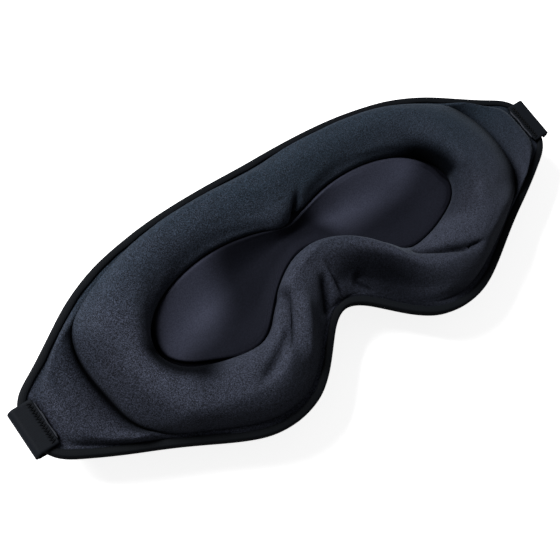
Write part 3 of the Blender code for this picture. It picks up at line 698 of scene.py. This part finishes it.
def sculpt_face(grid):
    """Press the creases and a soft unevenness into the liner."""
    row = np.arange(FACE_ROWS)[:, None]
    right = smooth_step(-4, 4, grid[..., 0])
    on_ring = np.clip((row - (RING_ROW - 1)) / 3.0, 0, 1)
    push = on_ring * sum(creases(grid, RELIEF, left=1 - right, right=right))
    lumps = value_noise(grid, scale=17.0) * 0.32 + value_noise(grid + 40.0, scale=8.0) * 0.13
    push += lumps * np.clip((row - 4) / 4.0, 0, 1)
    out = grid + grid_normals(grid) * push[..., None]
    # keep the creases from cutting through the cup lining below
    rows = slice(PAD_ROW, LIP_ROW - 1)
    lowest = np.minimum(grid[rows, :, 2], MID_Z + 1.7)
    out[rows, :, 2] = np.maximum(out[rows, :, 2], lowest)
    return out


def painted_shade_map(grid):
    """Painted shade on the liner, 0 to 1 per vertex: darker on the walls, rolls and creases that
    lie in shade.
    """
    painted_shading = np.zeros((FACE_ROWS, N))
    left = window(rise=(6.6, 8.4), fall=(12.4, 14.4)) * LEFT
    right = window(rise=(6.4, 7.6), fall=(12.4, 14.0)) * ~LEFT
    brow = window(rise=(4.2, 5.4), fall=(8.2, 9.2)) * ~LEFT
    # painted shade on the left temple pad's roll into the crease, a little on the right pad
    for k in range(PAD_STEPS):
        share = k / PAD_STEPS
        roll = 0.3 * smooth_step(0.5, 0.85, share) + 0.42 * smooth_step(0.82, 0.98, share)
        painted_shading[PAD_ROW + k] = left * (0.2 + roll) + 0.08 * right
    # painted shade on the ring's outer wall: left and right temples and the nose arch's wall
    for k in range(OUTER_STEPS + 1):
        spread = math.cos(outer_angle(k))
        wall = 0.42 * smooth_step(0.1, 0.6, spread) + 0.5 * smooth_step(0.93, 0.99, spread)
        painted_shading[RING_ROW + k] = (left * wall + right * 0.85 * smooth_step(0.5, 0.92, spread)
                              + HOLLOW * 0.74 * smooth_step(0.1, 0.4, spread))
    # painted shade on the inner wall: the left end, the right brow wall and the right end
    for k in range(1, INNER_STEPS + 1):
        share = k / INNER_STEPS
        band = smooth_step(0.05, 0.4, share) * (1 - 0.8 * smooth_step(0.8, 0.95, share))
        painted_shading[CREST_ROW + k] = (left * 0.9 * smooth_step(0.0, 0.42, share)
                               + brow * 0.9 * smooth_step(0.25, 0.72, share)
                               + right * (1 - brow) * 0.42 * band)
    on_ring = np.arange(FACE_ROWS)[:, None] >= RING_ROW
    x = grid[..., 0]
    # painted shade along the crease lines
    for line in creases(grid, PAINTED_SHADE_LINES, left=x < 0, right=x > 0):
        painted_shading = np.maximum(painted_shading, line * on_ring)
    # painted shade on the border rows beside the nose arch, and under the lip
    painted_shading[:RING_ROW] = np.maximum(painted_shading[:RING_ROW], 0.72 * HOLLOW)
    painted_shading[LIP_ROW + 1:] = np.maximum(painted_shading[LIP_ROW], 0.6 * ENDS)
    return np.clip(painted_shading, 0, 0.95)


CLOTH_EVERY = 4                 # the cloth run uses every fourth column
CLOTH_FRAMES = 20
CLOTH_MOST = 1.1                # largest move kept from the cloth run


def run_cloth(coarse, free):
    """Simulated points, in millimetres, of a grid pinned where `free` is near nothing."""
    rows, columns = coarse.shape[:2]
    trial = add_object("cloth_trial", new_mesh("cloth_trial", coarse,
                                               loft_faces(rows, columns, closed_levels=True)))
    pins = trial.vertex_groups.new(name="sewn")
    pins.add([int(i) for i in np.flatnonzero((free < 0.02).ravel())], 1.0, "REPLACE")
    cloth = trial.modifiers.new("cloth", "CLOTH")
    settings = cloth.settings
    settings.quality = 6
    settings.mass = 0.3
    settings.tension_stiffness = settings.compression_stiffness = 22
    settings.shear_stiffness = 8
    settings.bending_stiffness = 0.8
    settings.air_damping = 2
    settings.vertex_group_mass = "sewn"
    settings.pin_stiffness = 1
    settings.use_pressure = True
    settings.uniform_pressure_force = 4.0
    settings.shrink_min = -0.01
    settings.effector_weights.gravity = 0.0
    cloth.collision_settings.use_collision = False
    cloth.collision_settings.use_self_collision = False
    cloth.point_cache.frame_start = 1
    cloth.point_cache.frame_end = CLOTH_FRAMES
    scene = bpy.context.scene
    for number in range(1, CLOTH_FRAMES + 1):
        scene.frame_set(number)
    result = trial.evaluated_get(bpy.context.evaluated_depsgraph_get())
    points = np.empty(len(result.data.vertices) * 3)
    result.data.vertices.foreach_get("co", points)
    scene.frame_set(1)
    bpy.data.objects.remove(trial)
    return points.reshape(coarse.shape) / MM


def stretch_cloth(grid):
    """Fabric sewn down at the border, temple creases and lips, filled out by the foam's push."""
    coarse = grid[:, ::CLOTH_EVERY]
    row = np.arange(FACE_ROWS)[:, None]
    wide = smooth_step(7.0, 12.0, PAD_WIDTH[::CLOTH_EVERY])[None]
    # free cloth: the ring from just above its foot to just above the lip, and the temple pads
    free = (window(rise=(26, 32), fall=(61, 67), value=row)
            + wide * window(rise=(4, 9), fall=(17, 21), value=row))
    move = run_cloth(coarse, free) - coarse
    if not np.isfinite(move).all():     # guards against a run that blows up
        return grid
    size = np.linalg.norm(move, axis=-1, keepdims=True)
    kept = np.minimum(size, CLOTH_MOST * np.tanh(size / CLOTH_MOST))
    move = move * (kept / np.maximum(size, 1e-9)) * free[..., None]
    for _ in range(2):
        move = 0.5 * move + 0.25 * (np.roll(move, 1, 1) + np.roll(move, -1, 1))
        move[1:-1] = 0.5 * move[1:-1] + 0.25 * (move[:-2] + move[2:])
    first = np.arange(N) // CLOTH_EVERY
    second = (first + 1) % coarse.shape[1]
    t = ((np.arange(N) % CLOTH_EVERY) / CLOTH_EVERY)[None, :, None]
    return grid + move[:, first] * (1 - t) + move[:, second] * t


plain_face = face_grid()
plain_face = stretch_cloth(plain_face)
face = sculpt_face(plain_face)


def add_liner():
    under = face - grid_normals(face) * LINER_THICKNESS
    # painted shade for the liner's colour, carried by the "shade" attribute
    painted_shading = painted_shade_map(plain_face)
    add_piece("liner_skin", np.concatenate([face, under[::-1]]),
              loft_faces(2 * FACE_ROWS, N, closed_levels=True), FACE, "face_fabric",
              replaces="face_liner", shade=np.concatenate([painted_shading, painted_shading[::-1]]).ravel())


add_liner()

# ------------------------------------------------------------------ foam under the liner
FOAM_FLOOR = 0.7                # underside, above the border's middle plane
RING_FOAM_GAP = 3.2             # below the liner, along its normal


def add_ring_foam():
    under = face - grid_normals(plain_face) * RING_FOAM_GAP
    rows = under[RING_ROW + 2:LIP_ROW - 2:2]
    rows[..., 2] = np.maximum(rows[..., 2] - 0.4, MID_Z + FOAM_FLOOR + 0.15)
    floor_rows = [level(plan, FOAM_FLOOR) for plan in (rows[-1][:, :2], CREST, rows[0][:, :2])]
    core = np.concatenate([rows, floor_rows])[:, ::3]
    add_piece("ring_foam_core", core, loft_faces(len(core), N // 3, closed_levels=True),
              FOAM, "slow_foam", replaces="ring_foam")


def add_wing_pad(side, first, last):
    """Temple padding between two columns of the mask."""
    top = plain_face[7:19, first:last] - (0, 0, 1.0)
    bottom = top.copy()
    bottom[..., 2] = MID_Z + FOAM_FLOOR
    top[..., 2] = np.maximum(top[..., 2], MID_Z + FOAM_FLOOR + 0.3)
    body = np.concatenate([top, bottom[::-1]])
    width = last - first
    faces = loft_faces(len(body), width, closed_row=False, closed_levels=True)
    faces += [tuple(range(0, len(body) * width, width)),
              tuple(range(width - 1, len(body) * width, width))[::-1]]
    add_piece("wing_pad_" + side, body, faces, FOAM, "slow_foam", replaces="wing_foam_" + side)


add_ring_foam()
wing_first, wing_last = 8 * COLUMNS_PER_STATION, 12 * COLUMNS_PER_STATION
add_wing_pad("right", wing_first, wing_last)
add_wing_pad("left", N - wing_last, N - wing_first)

# ------------------------------------------------------------------ eye cup lining
# Gap between the cavity lip and the lining's rolled rim, wider on the left temple.
RIM_GAP = scalar_curve([0.3, 0.2, 0.15, 0.15, 0.25, 0.6, 1.2, 1.7, 2.2, 2.4, 2.4, 2.1, 1.6,
                        1.0, 0.6, 0.35, 0.25, 0.2, 0.2, 0.2, 0.2, 0.2, 0.25, 0.3, 0.3])
RIM_GAP = 0.15 + (RIM_GAP - 0.15) * np.where(LEFT, 1.0, 1 - smooth_step(7.6, 9.6, STATION))
RIM_GAP = RIM_GAP + 1.3 * window(rise=(8.6, 11.2), fall=(12.3, 15.6)) * LEFT
# Rolled rim: distance in from the rim line, share of its height.
RIM_ROLL = [(0, 0.35), (0.08, 0.65), (0.3, 0.85), (0.65, 0.96), (1.1, 1.0)]
CUP_FLOOR_ROW = 14              # from this row on, the floor is uneven


def steps(count):
    """Shares above 0 up to 1."""
    return np.linspace(0, 1, count + 1)[1:]


def cup_floor(plan):
    """Height of the padded floor, deeper away from the mask's middle."""
    return 2.5 - 2.6 * (0.35 + 0.65 * smooth_step(4, 24, np.abs(plan[:, 0])))


def cup_grid():
    """Lining: flat under the ring, a rolled rim inside the cavity lip, a shallow floor."""
    rim = LIP - OUTWARD * RIM_GAP[:, None]
    flat = (inset(0.9), inset(3.4), FOOT, CREST, LIP + OUTWARD * 3.0, LIP + OUTWARD * 1.0)
    rows = [level(plan, 0.45) for plan in flat]
    rows.append(level(rim + OUTWARD * 0.15, 0.5))
    for inward, share in RIM_ROLL:
        rows.append(level(rim - OUTWARD * inward, 0.5 + share * (LIP_Z - 0.6)))
    start, start_z = rim - OUTWARD * RIM_ROLL[-1][0], LIP_Z - 0.1
    for share in steps(27):
        plan = between(start, MIDDLE, share)
        drop = np.sin(share * math.pi / 2) ** 1.2
        rows.append(level(plan, start_z + (cup_floor(plan) - start_z) * drop))
    # close in on the line midway between the forehead and nose sides of each floor
    medial = 0.5 * (MIDDLE + MIDDLE[(N // 2 - np.arange(N)) % N])
    for share in (0.2, 0.4, 0.6, 0.8, 0.97):
        plan = between(MIDDLE, medial, share)
        rows.append(level(plan, cup_floor(plan)))
    grid = np.stack(rows)
    grid[CUP_FLOOR_ROW:, :, 2] += value_noise(grid[CUP_FLOOR_ROW:], scale=15.0) * 0.25
    return grid


def cup_painted_shade(grid):
    """Painted shade on the lining: round the rim, on the rim at the right cavity's outer end, and
    over each floor outside its lit patch.
    """
    painted_shading = np.zeros(grid.shape[:2])
    # painted shade in the crevice round the rim
    around = window(rise=(5.0, 6.5), fall=(13.5, 15.0))
    for k, most in enumerate([0.9] * 9 + [0.7, 0.45, 0.25, 0.1]):
        painted_shading[k] = most * around
    # painted shade on the rim at the right cavity's outer end
    painted_shading[:CUP_FLOOR_ROW] = np.maximum(painted_shading[:CUP_FLOOR_ROW], 0.85 * ENDS * ~LEFT)
    # painted shading across each floor: a lit patch, the rest painted darker
    x, y = grid[..., 0], grid[..., 1]
    lit_right = (smooth_step(7, 17, x + 0.5 * (y - 14)) * (1 - smooth_step(44, 62, x - 0.6 * y))
                 * smooth_step(-2, 11, y - 0.08 * (x - 30)))
    lit_left = (smooth_step(30, 45, -x + 0.35 * (y - 5))
                * smooth_step(-10, 4, y + 0.15 * (-x - 55)))
    unlit = 0.78 * (1 - np.where(x > 0, lit_right, lit_left))
    painted_shading[10:] = np.maximum(painted_shading[10:], unlit[10:])
    return painted_shading


cup = cup_grid()
# painted shade for the lining's colour
painted_shading = cup_painted_shade(cup)
add_bowl("cup_floor_skin", cup, cup - (0, 0, 0.4), CUP, slot="cup_fabric",
         replaces="eye_cup_lining", shade=np.concatenate([painted_shading, painted_shading[::-1]]).ravel())


# ------------------------------------------------------------------ front cover and shell foam
def dome_grid():
    """Underside of the mask: two domes with a saddle between, by share of the full depth."""
    rows = [(inset(0.9), 0), (inset(2.0), 0), (inset(3.2), 0), (inset(4.4), 0.01),
            (between(inset(4.4), FOOT, 0.6), 0.018), (FOOT, 0.03)]
    rows += [(between(FOOT, CREST, t), 0.03 + 0.37 * t ** 1.5) for t in steps(14)]
    rows += [(between(CREST, LIP, t), 0.40 + 0.38 * t) for t in steps(12)]
    rows += [(between(LIP, MIDDLE, t), 0.78 + 0.22 * math.sin(t * math.pi / 2))
             for t in steps(15)]
    rim_z, full_depth = -1.25, 10.25
    grid = np.stack([
        level(plan, rim_z - full_depth * share
              * (0.38 + 0.62 * smooth_step(5, 30, np.abs(plan[:, 0]))))
        for plan, share in rows])
    z = grid[..., 2]
    for _ in range(3):          # round the saddle and the dome shoulders
        z[7:-1] = 0.5 * z[7:-1] + 0.125 * (z[6:-2] + z[8:] + np.roll(z[7:-1], 1, 1)
                                           + np.roll(z[7:-1], -1, 1))
    return grid


def add_shell_foam():
    """Moulded foam between the cup lining and the cover."""
    top = [level(cup[k][:, :2], -0.3) for k in range(2, 7)]
    top += [cup[k] - (0, 0, 0.9) for k in range(12, len(cup), 3)]
    rows = np.linspace(5, len(dome) - 1, len(top)).round().astype(int)
    bottom = dome[rows] + (0, 0, 0.9)
    add_bowl("shell_foam_core", np.stack(top)[:, ::2], bottom[:, ::2], SHELL_FOAM,
             slot="shell_foam", replaces="shell_foam")


dome = dome_grid()
add_bowl("cover_skin", dome + (0, 0, 0.45), dome, COVER, slot="cover_fabric",
         replaces="front_cover")
add_shell_foam()

# ------------------------------------------------------------------ edge binding
BINDING_WIDTH = 2.9
BINDING_ROLL = 0.95             # plan radius of the rolled outer edge
BINDING_HALF = 1.9              # half its height


def add_binding():
    """Tape folded round the outline; its profile is (inset, height)."""
    profile = [(BINDING_ROLL + BINDING_ROLL * math.cos(angle), BINDING_HALF * math.sin(angle))
               for angle in np.radians(np.linspace(90, 270, 13))]
    profile += [(1.8, -1.92), (BINDING_WIDTH - 0.3, -1.9), (BINDING_WIDTH, -1.7),
                (BINDING_WIDTH, -1.42), (0.62, -1.38), (0.62, 1.38), (BINDING_WIDTH, 1.42),
                (BINDING_WIDTH, 1.66), (BINDING_WIDTH - 0.3, 1.86), (1.8, 1.92)]
    turn = 2 * math.pi * np.arange(N) / N
    waver = 0.8 * (0.10 * np.sin(37 * turn + 1) + 0.07 * np.sin(61 * turn))
    rows = [level(inset(depth + waver * smooth_step(1.5, BINDING_WIDTH, depth)), z)
            for depth, z in profile]
    add_piece("edge_tape", np.stack(rows), loft_faces(len(rows), N, closed_levels=True), BINDING,
              "binding_fabric", replaces="edge_binding")


add_binding()

# ------------------------------------------------------------------ webbing
STRAP_Y = 1.55                  # middle of the straps
STRAP_WIDTH = 17.8
STRAP_THICKNESS = 1.0
WRAP_X = 118.6                  # centre of the webbing's turn round each tip
WRAP_RADII = (1.7, 2.6)         # of its middle line, along X and Z
BAND_Z = 4.6                    # long strap, where it runs flat
TAIL_X = 50.0                   # its free end
LOOP_Z = 3.3                    # short strap, where it runs flat
TURN_X, TURN_Z = 5.6, 1.95      # centre of its turn back
SIDES = (("left", -1), ("right", 1))


def arc(centre, radii, start, end, count):
    """Points (x, z) on an ellipse between two angles in degrees."""
    points = []
    for k in range(count + 1):
        angle = math.radians(start + (end - start) * k / count)
        points.append((centre[0] + radii[0] * math.cos(angle),
                       centre[1] + radii[1] * math.sin(angle)))
    return points


def wrap(start, end, count):
    """Webbing's middle line round the left tip's bound edge."""
    return arc((-WRAP_X, MID_Z), WRAP_RADII, start, end, count)


def slope(x0, z0, x1, z1, start_slope, count=10):
    """Points of a gently bent descent; the start slope is a multiple of the mean slope."""
    points = []
    for k in range(count + 1):
        t = k / count
        curve = ((2 * t ** 3 - 3 * t * t + 1) * z0
                 + (t ** 3 - 2 * t * t + t) * start_slope * (z1 - z0)
                 + (-2 * t ** 3 + 3 * t * t) * z1)
        points.append((x0 + (x1 - x0) * t, 0.35 * curve + 0.65 * (z0 + (z1 - z0) * t)))
    return points


def resample(path, spacing):
    """Spline through an (x, z) path at about the given spacing."""
    path = np.asarray(path, float)
    last = len(path) - 1
    points = []
    for i in range(last):
        near_four = (path[max(i - 1, 0)], path[i], path[i + 1], path[min(i + 2, last)])
        count = max(2, int(np.linalg.norm(path[i + 1] - path[i]) / spacing))
        points += [catmull_rom(*near_four, j / count) for j in range(count)]
    points.append(path[-1])
    return np.array(points)


def add_ribbon(name, path, **piece):
    """Webbing: a rounded flat section swept along a line in the XZ plane."""
    direction = unit(np.gradient(path, axis=0))
    half, radius, spans = STRAP_WIDTH / 2, STRAP_THICKNESS / 2, 24
    flat = STRAP_WIDTH - 1.2 * radius
    section = [(-half + radius * 0.6 + flat * k / spans, radius) for k in range(spans + 1)]
    section += [(half - radius * 0.18, radius * 0.55), (half, 0),
                (half - radius * 0.18, -radius * 0.55)]
    section = np.array(section + [(-y, -height) for y, height in section])
    rows, sides = len(path), len(section)
    verts = np.zeros((rows, sides, 3))
    verts[..., 0] = path[:, :1] - direction[:, 1:] * section[:, 1]
    verts[..., 1] = STRAP_Y + section[:, 0]
    verts[..., 2] = path[:, 1:] + direction[:, :1] * section[:, 1]
    faces = loft_faces(rows, sides)
    tips = []
    for k, (row, outward) in enumerate(((0, -1), (rows - 1, 1))):       # slightly domed ends
        along = np.array([direction[row, 0], 0, direction[row, 1]])
        tips.append(verts[row].mean(0) + along * outward * 0.15)
        base, tip = row * sides, rows * sides + k
        faces += [(base + j, base + (j + 1) % sides, tip) for j in range(sides)]
    add_piece(name, np.vstack([verts.reshape(-1, 3), tips]), faces, WEBBING, "webbing", **piece)


def add_tabs():
    """Strap ends lapped over the face side and round each tip."""
    lap = [(-112.0, MID_Z + 2.66), (-114.0, MID_Z + 2.6), (-116.5, MID_Z + 2.6)]
    lap += wrap(90, 216, 12)
    for name, side in SIDES:
        path = resample([(-side * x, z) for x, z in lap], spacing=0.5)
        add_ribbon("strap_tab_" + name, path, replaces="strap_end_" + name)


def add_straps():
    """Long strap from the left tip, and short strap from the right tip with its turn back."""
    tip_x, tip_z = wrap(240, 240, 1)[0]
    path = slope(tip_x, tip_z, -60.0, BAND_Z, start_slope=1.6)
    path += [(-20.0, BAND_Z), (15.0, BAND_Z), (TAIL_X, BAND_Z)]
    add_ribbon("strap_band", resample(path, spacing=1.2), body="long_strap",
               replaces="strap_long")

    radius = LOOP_Z - TURN_Z
    under_z = LOOP_Z - STRAP_THICKNESS
    path = [(21.0, under_z - 0.3), (17.0, under_z - 0.45), (11.5, 0.85),
            (TURN_X + 1.1, TURN_Z - radius)]
    path += arc((TURN_X, TURN_Z), (radius, radius), 270, 90, 12)
    path += [(20.0, LOOP_Z), (40.0, LOOP_Z)]
    start_x = -tip_x - 1.4
    rise = slope(-start_x, tip_z - 0.95, -62.0, LOOP_Z, start_slope=1.3)
    path += [(-x, z) for x, z in reversed(rise)]
    add_ribbon("strap_tail", resample(path, spacing=1.0), body="short_strap",
               replaces="strap_short")


add_tabs()
add_straps()


# ------------------------------------------------------------------ stitches
def add_zigzag(name, x_middle, half_width, z_middle, passes, **piece):
    """Zigzag seam across a strap, each stitch arched over the webbing."""
    radius, sides, per_stitch, seam_margin = 0.13, 8, 6, 1.2
    start_y = STRAP_Y - STRAP_WIDTH / 2 + seam_margin
    end_y = STRAP_Y + STRAP_WIDTH / 2 - seam_margin
    low_z = z_middle - 0.10

    def corner(k):
        x = x_middle + (half_width if k % 2 else -half_width)
        return np.array([x, start_y + (end_y - start_y) * k / passes, low_z])

    points = []
    for k in range(passes):
        for t in np.arange(per_stitch) / per_stitch:
            point = corner(k) + (corner(k + 1) - corner(k)) * t
            point[2] += 0.20 * math.sin(math.pi * t)
            points.append(point)
    points.append(corner(passes))
    points = np.array(points)
    direction = unit(np.gradient(points, axis=0))
    sideways = unit(np.cross(direction, (0, 0, 1.0)))
    upward = np.cross(sideways, direction)
    angles = 2 * math.pi * np.arange(sides) / sides
    verts = points[:, None] + radius * (np.cos(angles)[:, None] * sideways[:, None]
                                        + np.sin(angles)[:, None] * upward[:, None])
    add_piece(name, verts, tube_faces(len(points), sides), THREAD, "thread", **piece)


def add_hem(name, side):
    """Turned-over edge along the inner end of the webbing, a thin roll with a slight wave; the roll
    is real, its lighter colour is a painted highlight along the fold.
    """
    rings, sides = 60, 10
    verts = []
    for k, y in enumerate(np.linspace(-7.2, 7.2, rings)):
        radius = 0.30 * min(1.0, 0.15 + 3 * min(k, rings - 1 - k) / 20)     # tapered ends
        x = side * 111.75 + 0.12 * math.sin(y * 0.9)
        z = MID_Z + 2.95 + 0.08 * math.sin(y * 0.55 + 1)
        verts += [(x + radius * math.cos(angle), STRAP_Y + y, z + radius * math.sin(angle))
                  for angle in np.linspace(0, 2 * math.pi, sides + 1)[:-1]]
    add_piece(name, verts, tube_faces(rings, sides), HEM_GLINT_THREAD, "thread")


for name, side in SIDES:
    add_zigzag("tab_seam_" + name, x_middle=side * 113.5, half_width=0.9,
               z_middle=MID_Z + 3.12 + 0.14, passes=26, replaces="end_stitch_" + name)
add_zigzag("tail_seam", x_middle=TAIL_X - 3.2, half_width=1.0,
           z_middle=BAND_Z + STRAP_THICKNESS / 2 + 0.22, passes=22,
           body="long_strap", replaces="tail_stitch")
add_zigzag("loop_seam", x_middle=18.6, half_width=0.9,
           z_middle=LOOP_Z - 1.5 * STRAP_THICKNESS - 0.75, passes=22,
           body="short_strap", replaces="loop_stitch")
for name, side in SIDES:
    add_hem("tab_hem_" + name, side)

# ------------------------------------------------------------------ slider
for material_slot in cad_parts["slider"].material_slots:
    material_slot.material = PLASTIC


# ------------------------------------------------------------------ stage, light and camera
def floor_material():
    """Pale to the camera, with little bounce under the mask."""
    shader = Shader("stage_floor")
    mottle = shader.noise(shader.place(scale=20.0), scale=1.0)
    shader.set_surface({"Base Color": shader.mix(mottle, (0.90, 0.90, 0.905), (0.92, 0.92, 0.925)),
                        "Roughness": 0.9, "Specular IOR Level": 0.1})
    rays = shader.node("ShaderNodeLightPath")
    glow = shader.filled("ShaderNodeEmission", {"Color": (1, 1, 1), "Strength": 0.84})
    dim = shader.filled("ShaderNodeBsdfDiffuse", {"Color": (0.22, 0.22, 0.23)})
    bright = shader.filled("ShaderNodeAddShader", {0: shader.surface.outputs[0],
                                                   1: glow.outputs[0]})
    choice = shader.filled("ShaderNodeMixShader", {0: rays.outputs["Is Camera Ray"],
                                                   1: dim.outputs[0], 2: bright.outputs[0]})
    shader.feed(shader.output.inputs["Surface"], choice.outputs[0])
    return shader.material


def add_floor():
    """Square floor, in metres, just below the straps."""
    material = floor_material()
    build = bmesh.new()
    bmesh.ops.create_grid(build, x_segments=4, y_segments=4, size=6.0)
    mesh = bpy.data.meshes.new("stage_floor")
    build.to_mesh(mesh)
    build.free()
    mesh.materials.append(material)
    floor = add_object("stage_floor", mesh)
    floor.location = (0, 0, -0.0005)


def set_world():
    """White backdrop to the camera, dim fill light to everything else."""
    fill, backdrop_extra = 0.13, 0.85
    world = bpy.data.worlds.new("studio")
    bpy.context.scene.world = world
    world.use_nodes = True
    tree = world.node_tree
    background = tree.nodes["Background"]
    background.inputs[0].default_value = (1.0, 1.0, 1.0, 1)
    rays = tree.nodes.new("ShaderNodeLightPath")
    strength = tree.nodes.new("ShaderNodeMath")
    strength.operation = "MULTIPLY_ADD"
    tree.links.new(rays.outputs["Is Camera Ray"], strength.inputs[0])
    strength.inputs[1].default_value = backdrop_extra
    strength.inputs[2].default_value = fill
    tree.links.new(strength.outputs[0], background.inputs[1])


def add_key_light():
    """Square light from the forehead side, to the left; metres and watts."""
    place, target = Vector((-0.50, 0.74, 0.80)), Vector((0, 0, 0.02))
    light = bpy.data.lights.new("key", "AREA")
    light.shape = "RECTANGLE"
    light.size = light.size_y = 0.5
    light.energy = 23
    light.color = (1.0, 1.0, 1.0)
    key = add_object("key", light)
    key.location = place
    key.rotation_euler = (target - place).to_track_quat("-Z", "Y").to_euler()


def add_camera():
    """Camera above the nose side, to the left, looking down."""
    camera = bpy.data.cameras.new("camera")
    camera.sensor_width = 36.0
    camera.sensor_fit = "HORIZONTAL"
    camera.lens = 66.54407
    camera.clip_start = 0.01
    holder = bpy.data.objects.new("camera", camera)
    right = Vector((0.7812, -0.588, 0.2095)).normalized()
    backward = Vector((-0.3894, -0.1967, 0.8998)).normalized()
    upward = backward.cross(right).normalized()
    right = upward.cross(backward)
    place = Vector((-161.01, -73.65, 338.6 + MID_Z)) * MM
    turn = Matrix((right, upward, backward)).transposed().to_4x4()
    holder.matrix_world = Matrix.Translation(place) @ turn
    bpy.context.scene.collection.objects.link(holder)
    bpy.context.scene.camera = holder


add_floor()
set_world()
add_key_light()
add_camera()
bpy.context.scene.view_settings.view_transform = "Standard"
